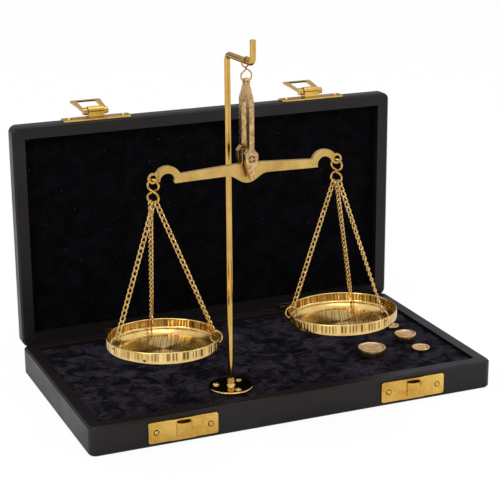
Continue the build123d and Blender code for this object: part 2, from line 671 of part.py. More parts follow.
def chain_ends(side, angle):
    """Wire on the lower loop, and hole in the rim, that one chain joins."""
    order = sorted(HOLES[side], key=lambda a: cos(radians(a - END_TURN)))
    slot = radians((order.index(angle) - 1) * CHAIN_SPREAD)
    along, low = END_LOOP_R * sin(slot), END_LOOP_R * (1 - cos(slot))
    turn = radians(END_TURN)
    top = Vector(ENDS[side] + along * cos(turn), HANG_Y + along * sin(turn), PAN_WIRE_Z + low)
    wire = Vector(cos(turn) * cos(slot), sin(turn) * cos(slot), sin(slot))
    spot = Rot(0, 0, angle) * Pos(PAN_R - PAN_WALL / 2, 0, -RIM_HOLE_DROP)
    hole = (pan_place(side) * spot).position
    return top, wire, hole


def rim_ring(side, angle):
    """Jump ring in the rim, in the upright plane of its chain, with its wire top."""
    top, _, hole = chain_ends(side, angle)
    pull = (top - hole).normalized()
    out = Vector(cos(radians(angle)), sin(radians(angle)), 0)
    out = (out - pull * out.dot(pull)).normalized()
    mid = hole + pull * RING_R
    path = [mid + (pull * cos(t) + out * sin(t)) * RING_R for t in (2 * pi * i / 10 for i in range(10))]
    rings = wire_rings(path, RING_WIRE_R, 5, True, pull.cross(out))
    return facets(rings, True), mid + pull * RING_R, out


def curb_link(half):
    """One curb link along Z: a squarish oval of wire twisted end to end."""
    points = []
    for i in range(LINK_STEPS):
        t = 2 * pi * i / LINK_STEPS
        s = half * cos(t) * abs(cos(t)) ** -0.38 if abs(cos(t)) > 0.01 else 0.0
        w = LINK_HALF_W * sin(t) * abs(sin(t)) ** -0.38 if abs(sin(t)) > 0.01 else 0.0
        a = radians(LINK_TWIST) / 2 * s / half
        points.append(Vector(w * cos(a), w * sin(a), s))
    rings = []
    for i, p in enumerate(points):
        along = (points[(i + 1) % LINK_STEPS] - points[i - 1]).normalized()
        out = p.normalized()
        out = (out - along * out.dot(along)).normalized()
        other = along.cross(out)
        corners = [pi + 2 * pi / 3 * j for j in range(3)]
        rings.append([p + (out * cos(q) + other * sin(q)) * LINK_R for q in corners])
    return facets(rings, True)


def chain(side, angle):
    """Taut run of links from the lower loop to the rim ring."""
    top, wire, _ = chain_ends(side, angle)
    _, end, end_wire = rim_ring(side, angle)
    run = end - top
    down = run.normalized()
    room = run.length + RING_WIRE_R + END_WIRE_R + 2 * LINK_R + WIRE_PLAY + LINK_PLAY
    count = round((room - 2 * LINK_R) / LINK_PITCH)
    half = (room + (count - 1) * (2 * LINK_R + LINK_GAP)) / (2 * count)
    step = 2 * half - 2 * LINK_R - LINK_GAP
    first = half - END_WIRE_R - LINK_R - LINK_PLAY
    frame = Plane(origin=top, x_dir=wire.cross(down), z_dir=down)

    def roll(direction):
        return degrees(atan2(direction.dot(frame.y_dir), direction.dot(frame.x_dir)))

    start = LINK_TWIST / 2
    finish = roll(end_wire.cross(down)) - LINK_TWIST / 2
    sweep_by = (finish - start + 90.0) % 180.0 - 90.0
    one = curb_link(half)
    links = []
    for i in range(count):
        turn = start + sweep_by * i / (count - 1)
        links.append(frame.location * Pos(0, 0, first + step * i) * Rot(0, 0, turn) * one)
    return group(links)


# Weights on the bed
def weight(x, y, r, h):
    body = extrude(RegularPolygon(r, WEIGHT_SIDES), h)
    body -= Pos(0, 0, h - WEIGHT_DISH) * extrude(RegularPolygon(r - WEIGHT_WALL, WEIGHT_SIDES), h)
    return Pos(x, y, BED_Z) * body


nodes = {
    "base_core": base_core,
    "base_cover": base_cover,
    "base_board": base_board,
    "base_velvet": base_velvet,
    "catch_nails": driven(catch_at, NAIL_HEAD_R, NAIL_HEAD_H),
    "hinge_base_nails": driven(base_leaf_at, HINGE_NAIL_HEAD, LEAF_T),
    "post_flange": flange,
    "flange_screws": flange_screws,
    "post": post,
    "lid_core": lid_core,
    "lid_cover": lid_cover,
    "lid_card": lid_card,
    "lid_velvet": lid_velvet,
    "hinge_lid_nails": opened(driven(lid_leaf_at, HINGE_NAIL_HEAD, LEAF_T)),
    "latch_nails": opened(driven(latch_at, NAIL_HEAD_R, NAIL_HEAD_H)),
    "top_hook": top_hook,
    "shears": shears(),
    "beam": beam(),
    "knife_edge": knife_edge,
    "weight_a": weight(*WEIGHT_A),
    "weight_b": weight(*WEIGHT_B),
    "weight_c": weight(*WEIGHT_C),
    "weight_d": weight(*WEIGHT_D),
}
for side in ("left", "right"):
    nodes[side + "_hinge_base_leaf"] = hinge_base[side]
    nodes[side + "_hinge_lid_leaf"] = hinge_lid[side]
    nodes[side + "_hinge_pin"] = hinge_pin[side]
    nodes[side + "_catch_plate"] = catch_plate(latches[side])
    nodes[side + "_latch_plate"] = latch_plate(latches[side])
    nodes[side + "_hasp_pin"] = hasp_pin(latches[side])
    nodes[side + "_hasp"] = hasp(latches[side])
    nodes[side + "_end_hook"] = end_hook(side)
    nodes[side + "_pan"] = pan(side)
    nodes[side + "_pan_rings"] = group([rim_ring(side, a)[0] for a in HOLES[side]])
    for letter, a in zip("abc", HOLES[side]):
        nodes[side + "_chain_" + letter] = chain(side, a)

os.makedirs("parts", exist_ok=True)
for name, shape in nodes.items():
    export_step(shape, "parts/" + name + ".step")
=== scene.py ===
import json
from math import acos, atan2, cos, degrees, pi, radians, sin

import bmesh
import bpy
import numpy as np
from mathutils import Matrix, Vector

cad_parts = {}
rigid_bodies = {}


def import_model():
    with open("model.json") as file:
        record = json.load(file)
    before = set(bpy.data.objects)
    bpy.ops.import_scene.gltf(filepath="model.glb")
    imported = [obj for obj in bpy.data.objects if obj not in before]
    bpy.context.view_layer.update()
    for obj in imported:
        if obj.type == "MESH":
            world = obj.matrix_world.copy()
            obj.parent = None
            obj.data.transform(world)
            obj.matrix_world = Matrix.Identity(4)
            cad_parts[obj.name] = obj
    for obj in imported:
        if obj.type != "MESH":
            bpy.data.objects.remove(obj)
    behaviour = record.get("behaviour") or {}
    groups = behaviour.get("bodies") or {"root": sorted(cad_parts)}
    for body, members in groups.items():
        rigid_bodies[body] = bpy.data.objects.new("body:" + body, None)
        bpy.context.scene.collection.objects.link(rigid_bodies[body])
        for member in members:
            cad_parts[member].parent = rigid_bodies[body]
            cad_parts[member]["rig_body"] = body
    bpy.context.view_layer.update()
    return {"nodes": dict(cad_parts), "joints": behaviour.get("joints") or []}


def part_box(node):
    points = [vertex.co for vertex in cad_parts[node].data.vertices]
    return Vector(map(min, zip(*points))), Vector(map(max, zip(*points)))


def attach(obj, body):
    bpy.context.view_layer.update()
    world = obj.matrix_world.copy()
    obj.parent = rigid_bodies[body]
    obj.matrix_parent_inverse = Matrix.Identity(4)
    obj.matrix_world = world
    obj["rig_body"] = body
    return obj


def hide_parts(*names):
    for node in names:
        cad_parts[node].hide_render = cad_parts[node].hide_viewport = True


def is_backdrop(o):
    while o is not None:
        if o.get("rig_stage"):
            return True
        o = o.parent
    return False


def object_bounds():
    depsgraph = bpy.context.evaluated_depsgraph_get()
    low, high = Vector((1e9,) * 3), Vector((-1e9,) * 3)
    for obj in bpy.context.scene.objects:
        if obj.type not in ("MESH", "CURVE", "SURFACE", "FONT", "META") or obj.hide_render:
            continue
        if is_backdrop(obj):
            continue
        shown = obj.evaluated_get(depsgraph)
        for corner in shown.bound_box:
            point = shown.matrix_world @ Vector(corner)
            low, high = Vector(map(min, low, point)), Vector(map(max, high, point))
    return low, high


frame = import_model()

# ---- Case shells: two shallow trays of thin wood, wrapped in black leatherette.
# The skin is glued on and turned in over the rims, so every edge is rounded and
# a little greyer where the light runs along it.
MM = 0.001
CASE_W, CASE_D, LID_MIDDLE, RIM_W = 210.0, 116.0, 71.45, 6.6
nodes = frame["nodes"]


def linear(code):
    """Linear RGBA of an sRGB hex colour."""
    parts = [int(code[i:i + 2], 16) / 255 for i in (1, 3, 5)]
    return tuple(c / 12.92 if c <= 0.04045 else ((c + 0.055) / 1.055) ** 2.4
                 for c in parts) + (1.0,)


def add(tree, kind, sockets=None, **settings):
    """Add one shader node, set its settings, then set or link its sockets."""
    node = tree.nodes.new("ShaderNode" + kind)
    for name, value in settings.items():
        setattr(node, name, value)
    for name, value in (sockets or {}).items():
        if isinstance(value, bpy.types.NodeSocket):
            tree.links.new(value, node.inputs[name])
        else:
            node.inputs[name].default_value = value
    return node


def started(name):
    """An empty node material and its tree."""
    made = bpy.data.materials.new(name)
    made.use_nodes = True
    made.node_tree.nodes.clear()
    return made, made.node_tree


def per(mm):
    """Texture scale that gives a pattern of this size in millimetres."""
    return 1000.0 / mm


def shaded(tree, sockets):
    """Close a tree with its surface shader."""
    surface = add(tree, "BsdfPrincipled", sockets)
    add(tree, "OutputMaterial", {"Surface": surface.outputs["BSDF"]})


def leatherette(name, second, middle):
    """Embossed vinyl cloth on paper: near black, satin, with a fine pebble of 0.9 mm cells.

    The eye sees a soft grey sheen that breaks up over the pebble, slow patches where
    handling has polished it, and a crease across each corner of the rim where the skin
    is folded, sunk by a bump and darkened to near black as painted shade.  second is the
    axis that runs across the rim beside X, and middle the tray's middle along it.  The
    pebble is drawn coarser than the real 0.5 mm.
    """
    made, tree = started(name)
    place = add(tree, "TexCoord").outputs["Object"]
    patch = add(tree, "TexNoise", {"Vector": place, "Scale": per(22), "Detail": 4.0,
                                   "Roughness": 0.6})
    tint = add(tree, "Mix", {0: patch.outputs["Fac"], 6: linear("#0a0708"), 7: linear("#1c1617")},
               data_type="RGBA")
    worn = add(tree, "MapRange", {"Value": patch.outputs["Fac"], "From Min": 0.3, "From Max": 0.7,
                                  "To Min": 0.46, "To Max": 0.34})
    axes = add(tree, "SeparateXYZ", {0: place})
    aside = add(tree, "Math", {0: axes.outputs["X"]}, operation="ABSOLUTE")
    centred = add(tree, "Math", {0: axes.outputs[second], 1: middle * MM}, operation="SUBTRACT")
    along = add(tree, "Math", {0: centred.outputs[0]}, operation="ABSOLUTE")
    skew = add(tree, "Math", {0: aside.outputs[0], 1: along.outputs[0]}, operation="SUBTRACT")
    off = add(tree, "Math", {0: skew.outputs[0], 1: (CASE_W - CASE_D) / 2 * MM},
              operation="SUBTRACT")
    near = add(tree, "Math", {0: off.outputs[0]}, operation="ABSOLUTE")
    line = add(tree, "MapRange", {"Value": near.outputs[0], "From Min": 0.1 * MM,
                                  "From Max": 0.5 * MM, "To Min": 1.0, "To Max": 0.0})
    corner = add(tree, "Math", {0: aside.outputs[0], 1: (CASE_W / 2 - RIM_W) * MM},
                 operation="GREATER_THAN")
    fold = add(tree, "Math", {0: line.outputs["Result"], 1: corner.outputs[0]},
               operation="MULTIPLY")
    # Painted shade: the fold line is darkened to near black.
    crease_shaded = add(tree, "Mix", {0: fold.outputs[0], 6: tint.outputs[2], 7: linear("#040304")},
                  data_type="RGBA")
    pebble = add(tree, "TexVoronoi", {"Vector": place, "Scale": per(0.9), "Smoothness": 0.6},
                 feature="SMOOTH_F1")
    ripple = add(tree, "TexNoise", {"Vector": place, "Scale": per(9), "Detail": 2.0})
    broad = add(tree, "Bump", {"Height": ripple.outputs["Fac"], "Strength": 0.25,
                               "Distance": 0.6 * MM})
    grain = add(tree, "Bump", {"Height": pebble.outputs["Distance"], "Strength": 0.35,
                               "Distance": 0.08 * MM, "Normal": broad.outputs["Normal"]})
    sunk = add(tree, "Bump", {"Height": fold.outputs[0], "Strength": 0.6, "Distance": 0.25 * MM,
                              "Normal": grain.outputs["Normal"]}, invert=True)
    shaded(tree, {"Base Color": crease_shaded.outputs[2], "Roughness": worn.outputs["Result"],
                  "Normal": sunk.outputs["Normal"], "Specular IOR Level": 0.28})
    return made


def rounded(node, finish, edge, sharp=30.0):
    """A copy of a CAD node, its triangles merged and its edges rounded, that stands for it."""
    mesh = nodes[node].data.copy()
    shape = bmesh.new()
    shape.from_mesh(mesh)
    bmesh.ops.remove_doubles(shape, verts=shape.verts, dist=1e-6)
    bmesh.ops.dissolve_limit(shape, angle_limit=radians(0.5), verts=shape.verts, edges=shape.edges)
    shape.to_mesh(mesh)
    shape.free()
    if "custom_normal" in mesh.attributes:
        mesh.attributes.remove(mesh.attributes["custom_normal"])
    mesh.materials.clear()
    mesh.materials.append(finish)
    mesh.shade_smooth()
    mesh.set_sharp_from_angle(angle=radians(sharp))
    made = bpy.data.objects.new(node + "_piece", mesh)
    bpy.context.scene.collection.objects.link(made)
    if edge:
        soft = made.modifiers.new("edge", "BEVEL")
        soft.width = edge * MM
        soft.segments = 3
        soft.limit_method = "ANGLE"
        soft.angle_limit = radians(sharp)
        soft.harden_normals = True
    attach(made, nodes[node]["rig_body"])
    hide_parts(node)


rounded("base_cover", leatherette("black_leatherette_tray", "Y", 0.0), 0.45)
rounded("lid_cover", leatherette("black_leatherette_lid", "Z", LID_MIDDLE), 0.45)


# ---- Hidden carcass: pine trays, a board under the bed and grey card behind the lid
# lining.  Only their cut ends could ever be seen, as plain raw wood and card.
def raw_timber():
    """Sawn softwood: pale, matt, with growth lines 2 mm apart along the tray."""
    made, tree = started("sawn_softwood")
    place = add(tree, "TexCoord").outputs["Object"]
    stretch = add(tree, "Mapping", {"Vector": place, "Scale": (0.08, 1.0, 1.0)})
    lines = add(tree, "TexNoise", {"Vector": stretch.outputs["Vector"], "Scale": per(2),
                                   "Detail": 5.0})
    tint = add(tree, "Mix", {0: lines.outputs["Fac"], 6: linear("#a98358"), 7: linear("#d6b98c")},
               data_type="RGBA")
    bump = add(tree, "Bump", {"Height": lines.outputs["Fac"], "Strength": 0.3,
                              "Distance": 0.1 * MM})
    shaded(tree, {"Base Color": tint.outputs[2], "Roughness": 0.75,
                  "Normal": bump.outputs["Normal"]})
    return made


def grey_card():
    """Pressed pulp card: grey-brown, matt, with short fibres of about 1 mm."""
    made, tree = started("grey_pulp_card")
    place = add(tree, "TexCoord").outputs["Object"]
    fibre = add(tree, "TexNoise", {"Vector": place, "Scale": per(1), "Detail": 6.0})
    tint = add(tree, "Mix", {0: fibre.outputs["Fac"], 6: linear("#84796a"), 7: linear("#a89c8a")},
               data_type="RGBA")
    bump = add(tree, "Bump", {"Height": fibre.outputs["Fac"], "Strength": 0.2,
                              "Distance": 0.05 * MM})
    shaded(tree, {"Base Color": tint.outputs[2], "Roughness": 0.9,
                  "Normal": bump.outputs["Normal"]})
    return made


def dress(node, finish):
    """Give a CAD node that keeps its own shape its finish."""
    nodes[node].data.materials.clear()
    nodes[node].data.materials.append(finish)


timber, card = raw_timber(), grey_card()
for part in ("base_core", "lid_core", "base_board"):
    dress(part, timber)
dress("lid_card", card)


# ---- Linings: black cotton velvet glued flat on the board and the card, its cut edges
# rolled down at the walls.  The pile lies in brushed patches, so the light catches it
# unevenly; that catch is painted into the colour as sheen, lighter on the bed, which
# faces up to the light, than on the upright lid.  It has picked up pale lint.
def velvet(name, painted_sheen, bloom):
    """Black cut-pile velvet: almost no reflection straight on, a bluish bloom at low angles.

    Brushed patches of about 9 mm lift the black to the sheen colour given, painted sheen
    where the pile catches the light, and 0.8 mm tufts roughen it; both are drawn large
    enough to show.  Lint is a thin scatter of specks about 0.5 mm across, and bloom the
    share of light that the standing pile throws back.
    """
    made, tree = started(name)
    place = add(tree, "TexCoord").outputs["Object"]
    brushed = add(tree, "TexNoise", {"Vector": place, "Scale": per(9), "Detail": 6.0,
                                     "Roughness": 0.72, "Distortion": 0.8})
    lay = add(tree, "MapRange", {"Value": brushed.outputs["Fac"], "From Min": 0.43,
                                 "From Max": 0.68})
    tuft = add(tree, "TexNoise", {"Vector": place, "Scale": per(0.8), "Detail": 3.0})
    # Painted sheen: the brushed patches lift the black towards the sheen colour given.
    sheen_patches = add(tree, "Mix", {0: lay.outputs["Result"], 6: linear("#010002"), 7: linear(painted_sheen)},
               data_type="RGBA")
    fleck = add(tree, "Mix", {0: tuft.outputs["Fac"], 6: linear("#020103"), 7: sheen_patches.outputs[2]},
                data_type="RGBA")
    spots = add(tree, "TexVoronoi", {"Vector": place, "Scale": per(7), "Randomness": 1.0})
    lint = add(tree, "MapRange", {"Value": spots.outputs["Distance"], "From Min": 0.03,
                                  "From Max": 0.05, "To Min": 0.35, "To Max": 0.0})
    cloth = add(tree, "Mix", {0: lint.outputs["Result"], 6: fleck.outputs[2], 7: linear("#6b6672")},
                data_type="RGBA")
    pile = add(tree, "Bump", {"Height": tuft.outputs["Fac"], "Strength": 0.7,
                              "Distance": 0.35 * MM})
    shaded(tree, {"Base Color": cloth.outputs[2], "Roughness": 0.9,
                  "Normal": pile.outputs["Normal"], "Specular IOR Level": 0.06,
                  "Sheen Weight": bloom, "Sheen Roughness": 0.4,
                  "Sheen Tint": linear("#b9b2cc")})
    return made


def skinned(name, sheets, finish):
    """One mesh object from grids of points.

    Each sheet is (grid, wrap_rows, wrap_columns, capped): quads join neighbouring rows
    and columns, a wrapped direction closes on itself, and a cap closes the first and
    last row with a fan of triangles about the middle of that row.
    """
    points, faces, start = [], [], 0
    for grid, wrap_rows, wrap_columns, capped in sheets:
        rows, columns = grid.shape[:2]
        index = start + np.arange(rows * columns).reshape(rows, columns)
        if wrap_rows:
            index = np.vstack([index, index[:1]])
        if wrap_columns:
            index = np.hstack([index, index[:, :1]])
        quads = np.stack([index[:-1, :-1], index[:-1, 1:], index[1:, 1:], index[1:, :-1]], -1)
        faces += quads.reshape(-1, 4).tolist()
        points.append(grid.reshape(-1, 3))
        start += rows * columns
        if capped:
            points.append(np.stack([grid[0].mean(0), grid[-1].mean(0)]))
            low, high = index[0], index[-1]
            faces += np.stack([low[1:], low[:-1], np.full(len(low) - 1, start)], -1).tolist()
            faces += np.stack([high[:-1], high[1:], np.full(len(high) - 1, start + 1)], -1).tolist()
            start += 2
    mesh = bpy.data.meshes.new(name)
    mesh.from_pydata((np.concatenate(points) * MM).tolist(), [], faces)
    mesh.materials.append(finish)
    mesh.shade_smooth()
    made = bpy.data.objects.new(name, mesh)
    bpy.context.scene.collection.objects.link(made)
    return made


def stands_for(made, *names):
    """A new piece rides on the body of the nodes it stands for, which are hidden."""
    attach(made, nodes[names[0]]["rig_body"])
    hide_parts(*names)


def mottle(rows, columns, cell, seed):
    """Smooth random height from 0 to 1: seeded noise whose fine waves are filtered out."""
    noise = np.random.default_rng(seed).standard_normal((rows, columns))
    waves = np.hypot(np.fft.fftfreq(rows)[:, None], np.fft.fftfreq(columns)[None, :])
    smooth = np.fft.ifft2(np.fft.fft2(noise) * np.exp(-(waves * cell) ** 2)).real
    return (smooth - smooth.min()) / np.ptp(smooth)


def nap(width, depth, seed):
    """Lining seen from its pile: a flat grid that rolls down at the edges.

    Height is minus the crush of the pile, up to 0.25 mm, minus a quarter-round drop of
    0.5 mm in the last 0.5 mm before each edge.  Rows run along the depth.
    """
    roll = 0.5
    edge = np.array([0.0, 0.12, 0.3, 0.6, 1.0]) * roll
    across = np.concatenate([edge, np.linspace(roll, width - roll, 190)[1:-1], width - edge[::-1]])
    along = np.concatenate([edge, np.linspace(roll, depth - roll, 110)[1:-1], depth - edge[::-1]])
    x, y = np.meshgrid(across, along)
    inside = np.clip(np.minimum(np.minimum(x, width - x), np.minimum(y, depth - y)) / roll, 0, 1)
    drop = roll * (1 - np.sqrt(1 - (1 - inside) ** 2))
    crush = 0.25 * mottle(len(along), len(across), 26.0, seed) * inside
    return np.stack([x - width / 2, y - depth / 2, -drop - crush], -1)


def backed(made, thickness):
    """Give a lining its cloth thickness, away from the pile."""
    cloth = made.modifiers.new("cloth", "SOLIDIFY")
    cloth.thickness = thickness * MM
    cloth.offset = -1.0


CLOTH_T = 0.6
# Lit copy of the velvet: the bed faces up to the light, so its painted sheen is lighter.
lit_bed_velvet = velvet("brushed_black_velvet", "#474050", 0.02)
bed_low, bed_high = (np.array(v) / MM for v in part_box("base_velvet"))
bed = nap(bed_high[0] - bed_low[0], bed_high[1] - bed_low[1], 3)
bed = skinned("bed_lining", [(bed + [0, 0, bed_high[2]], False, False, False)], lit_bed_velvet)
backed(bed, CLOTH_T)
stands_for(bed, "base_velvet")

# Shaded copy of the same velvet: the upright lid lining, its painted sheen near black.
shaded_lid_velvet = velvet("smooth_black_velvet", "#131016", 0.0)
lid_low, lid_high = (np.array(v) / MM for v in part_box("lid_velvet"))
lid = nap(lid_high[0] - lid_low[0], lid_high[2] - lid_low[2], 8)
middle = (lid_low + lid_high) / 2
lid = np.stack([lid[..., 0] + middle[0], lid_low[1] - lid[..., 2], lid[..., 1] + middle[2]], -1)
lid = skinned("lid_lining", [(lid, False, False, False)], shaded_lid_velvet)
backed(lid, CLOTH_T)
stands_for(lid, "lid_velvet")


# ---- Sheet-brass fittings: hinges on the back, catch plates on the front, latch plates
# with rolled barrels and hasps on the lid.  All are pressed from thin brass and nailed
# on; those at the front are lacquered.
def brass(name, bright, dull, rough, patch_mm, mark_mm, mark):
    """Brass of one finish: colour and gloss drift in patches, and fine marks roughen it.

    bright and dull are the clean and tarnished colours, rough the (least, most) roughness,
    patch_mm the size of the tarnish, mark_mm the spacing of the surface marks and mark
    their depth in millimetres.
    """
    made, tree = started(name)
    place = add(tree, "TexCoord").outputs["Object"]
    stain = add(tree, "TexNoise", {"Vector": place, "Scale": per(patch_mm), "Detail": 6.0,
                                   "Roughness": 0.7})
    even = add(tree, "MapRange", {"Value": stain.outputs["Fac"], "From Min": 0.35,
                                  "From Max": 0.68})
    tint = add(tree, "Mix", {0: even.outputs["Result"], 6: linear(bright), 7: linear(dull)},
               data_type="RGBA")
    gloss = add(tree, "MapRange", {"Value": stain.outputs["Fac"], "From Min": 0.3, "From Max": 0.7,
                                   "To Min": rough[0], "To Max": rough[1]})
    marks = add(tree, "TexNoise", {"Vector": place, "Scale": per(mark_mm), "Detail": 4.0})
    dent = add(tree, "Bump", {"Height": marks.outputs["Fac"], "Strength": 0.5,
                              "Distance": mark * MM})
    shaded(tree, {"Base Color": tint.outputs[2], "Metallic": 1.0,
                  "Roughness": gloss.outputs["Result"], "Normal": dent.outputs["Normal"]})
    return made


# Lacquered sheet brass: yellow, bright, a slight orange peel of 2 mm from pressing.
sheet_brass = brass("lacquered_sheet_brass", "#e2bc62", "#bd8f3e", (0.14, 0.26), 9, 2, 0.025)
# Dark sheet brass: the hinges at the back, their pins and their nails are drawn brown-black.
dark_hinge_brass = brass("aged_sheet_brass", "#33281a", "#1c1610", (0.35, 0.5), 5, 1.5, 0.05)
for side in ("left", "right"):
    for part in ("catch_plate", "latch_plate", "hasp"):
        rounded(side + "_" + part, sheet_brass, 0.32)
    rounded(side + "_hasp_pin", sheet_brass, 0.15)
    for part in ("hinge_base_leaf", "hinge_lid_leaf", "hinge_pin"):
        rounded(side + "_" + part, dark_hinge_brass, 0.15)


# ---- Nails: round-headed brass tacks, sixteen in all, driven through the fittings.
# Those at the front are bright, their collars darkened as painted shade; the hinges' are drawn
# brown-black with them.
def turned(profile, turns):
    """Surface of revolution: the profile's (radius, height) points carried round Z.

    Rows follow the profile from the bottom middle outwards and up, columns the angle.
    """
    angle = np.linspace(0, 2 * pi, turns, endpoint=False)
    r, z = np.asarray(profile, float).T
    return np.stack([np.outer(r, np.cos(angle)), np.outer(r, np.sin(angle)),
                     np.repeat(z[:, None], turns, 1)], -1)


def dome(radius, height, shank, depth):
    """Tack profile: a pointed shank, a flat foot and a full, rounded head.

    The outer quarter of the head is a low collar, which the material darkens as painted
    shade.  Inside it the radius follows the cosine to the power 0.8 and the height the sine
    of a quarter turn.
    """
    turn, collar = np.linspace(0, pi / 2, 9), 0.04
    arc = np.stack([0.76 * radius * np.cos(turn) ** 0.8,
                    collar + (height - collar) * np.sin(turn)], 1)
    foot = [(shank * 0.2, -depth), (shank, -depth + shank), (shank, -0.02), (radius, -0.02),
            (radius, collar), (0.9 * radius, collar + 0.02)]
    return np.concatenate([foot, arc[:-1], [(radius * 0.12, height)]])


def painted(made, name, values):
    """Store one number per point of a piece for its material to read."""
    made.data.attributes.new(name, "FLOAT", "POINT").data.foreach_set("value", values)


def tack_metal():
    """Turned brass tack: bright dome, its collar darkened to dark brown as painted shade by a
    per-point attribute.
    """
    made, tree = started("turned_tack_brass")
    place = add(tree, "TexCoord").outputs["Object"]
    stain = add(tree, "TexNoise", {"Vector": place, "Scale": per(2.4), "Detail": 5.0})
    tint = add(tree, "Mix", {0: stain.outputs["Fac"], 6: linear("#f3cf78"), 7: linear("#c4943f")},
               data_type="RGBA")
    dirt = add(tree, "Attribute", attribute_name="dirt")
    # Painted shade: the collar rows turn dark brown.
    collar_shaded = add(tree, "Mix", {0: dirt.outputs["Fac"], 6: tint.outputs[2], 7: linear("#1c1004")},
                 data_type="RGBA")
    gloss = add(tree, "MapRange", {"Value": stain.outputs["Fac"], "To Min": 0.14, "To Max": 0.3})
    marks = add(tree, "TexNoise", {"Vector": place, "Scale": per(0.8), "Detail": 3.0})
    dent = add(tree, "Bump", {"Height": marks.outputs["Fac"], "Strength": 0.4,
                              "Distance": 0.02 * MM})
    shaded(tree, {"Base Color": collar_shaded.outputs[2], "Metallic": 1.0,
                  "Roughness": gloss.outputs["Result"], "Normal": dent.outputs["Normal"]})
    return made


latch_x, catch_nail_x, latch_nail_x, hinge_x, hinge_nail_x = 60.0, 13.4, 14.3, 50.0, 7.0
SHANK_R, SHANK_L, TACK_TURNS, COLLAR_ROWS = 0.42, 3.9, 28, (3, 4, 5, 6)
# Node, middle of its fittings, nails' distance from it, head radius, head height, and how
# far the nailed face lies below the top of the CAD heads.
tack_groups = (
    ("catch_nails", latch_x, catch_nail_x, 1.45, 0.75, 0.8),
    ("latch_nails", latch_x, latch_nail_x, 1.45, 0.75, 0.8),
    ("hinge_base_nails", hinge_x, hinge_nail_x, 1.05, 0.55, 0.6),
    ("hinge_lid_nails", hinge_x, hinge_nail_x, 1.05, 0.55, 0.6),
)
# The tack's own X, Y and outward axes in the part's frame.
facing = {
    "catch_nails": ((1, 0, 0), (0, 0, 1), (0, -1, 0)),
    "latch_nails": ((1, 0, 0), (0, 1, 0), (0, 0, 1)),
    "hinge_base_nails": ((-1, 0, 0), (0, 0, 1), (0, 1, 0)),
    "hinge_lid_nails": ((1, 0, 0), (0, -1, 0), (0, 0, -1)),
}
tack_brass = tack_metal()
for node, middle_x, off_x, radius, height, below in tack_groups:
    low, high = (np.array(v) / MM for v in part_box(node))
    axes = np.array(facing[node], float)
    out = axes[2]
    head = np.where(out > 0, high, low) * np.abs(out)
    across = (low + high) / 2 * (1 - np.abs(out))
    seat = across + head - out * below
    tack = turned(dome(radius, height, SHANK_R, SHANK_L), TACK_TURNS) @ axes
    sheets = []
    for x in (-middle_x - off_x, -middle_x + off_x, middle_x - off_x, middle_x + off_x):
        spot = seat * [0, 1, 1] + [x, 0, 0]
        sheets.append((tack + spot, False, True, True))
    finish = dark_hinge_brass if node.startswith("hinge") else tack_brass
    tacks = skinned(node + "_tacks", sheets, finish)
    # Collar rows, darkened in the material as painted shade.
    rows = np.isin(np.arange(len(tack)), COLLAR_ROWS).astype(float)
    one = np.concatenate([np.repeat(rows, TACK_TURNS), [0.0, 0.0]])
    painted(tacks, "dirt", np.tile(one, len(sheets)))
    stands_for(tacks, node)

# ---- Post: one 2.8 mm brass rod bent to a crook, standing in the waisted boss of a round
# flange that three slotted screws hold to the bed.
# Polished drawn brass: warm gold, long soft highlights, brown tarnish in patches.
rod_brass = brass("polished_drawn_brass", "#cfa95c", "#b98e46", (0.08, 0.15), 16, 1.2, 0.01)


def wire(path, radius, sides, side):
    """Round wire along a path: rings of points square to the path.

    side points across the wire at each path point; the ring's corners turn from it
    round the path's direction.
    """
    ahead = np.roll(path, -1, 0) - np.roll(path, 1, 0)
    if np.linalg.norm(path[0] - path[-1]) > 3 * np.linalg.norm(path[1] - path[0]):
        ahead[0], ahead[-1] = path[1] - path[0], path[-1] - path[-2]
    ahead /= np.linalg.norm(ahead, axis=1, keepdims=True)
    across = side - ahead * (side * ahead).sum(1, keepdims=True)
    across /= np.linalg.norm(across, axis=1, keepdims=True)
    other = np.cross(ahead, across)
    t = 2 * pi * np.arange(sides) / sides
    radius = np.reshape(radius, (-1, 1, 1))
    ring = across[:, None] * np.cos(t)[:, None] + other[:, None] * np.sin(t)[:, None]
    return path[:, None] + radius * ring


def crook(foot, knee, heel, tip, bend):
    """Centre line of the post: three straight runs joined by quarter arcs of one radius.

    Each arc starts a bend's length before its corner and turns evenly to the next run.
    """
    runs = [np.asarray(p, float) for p in (foot, knee, heel, tip)]
    t = np.linspace(0, pi / 2, 14)[:, None]
    line = [runs[0] + np.linspace(0, 0.97, 30)[:, None] * (runs[1] - runs[0])]
    for before, corner, after in zip(runs, runs[1:], runs[2:]):
        back = (before - corner) / np.linalg.norm(before - corner)
        on = (after - corner) / np.linalg.norm(after - corner)
        line.append(corner + bend * (back * (1 - np.sin(t)) + on * (1 - np.cos(t))))
    line.append(runs[3] + np.linspace(-0.45, 0, 8)[:, None] * (runs[3] - runs[2]))
    return np.concatenate(line)


POST_X, POST_Y, POST_R, BED_Z, ARM_Z = -26.5, -34.3, 1.4, 13.0, 175.0
ARM_L, ARM_ASIDE, TIP_H, BEND_R, TIP_EASE = 27.0, 1.215, 10.4, 3.0, 0.4
tip_x, tip_y = POST_X + ARM_ASIDE, POST_Y - ARM_L
line = crook((POST_X, POST_Y, BED_Z), (POST_X, POST_Y, ARM_Z), (tip_x, tip_y, ARM_Z),
             (tip_x, tip_y, ARM_Z + TIP_H), BEND_R)
ease = np.linspace(0, pi / 2, 7)
top_end = line[-1] - TIP_EASE * np.outer(1 - np.sin(ease), [0, 0, 1])
line = np.concatenate([line[:-1], [top_end[0] - [0, 0, 0.05]], top_end])
thin = np.concatenate([np.full(len(line) - len(ease), POST_R),
                       POST_R - TIP_EASE * (1 - np.cos(ease))])
rod = wire(line, thin, 40, np.tile([1.0, 0.0, 0.0], (len(line), 1)))
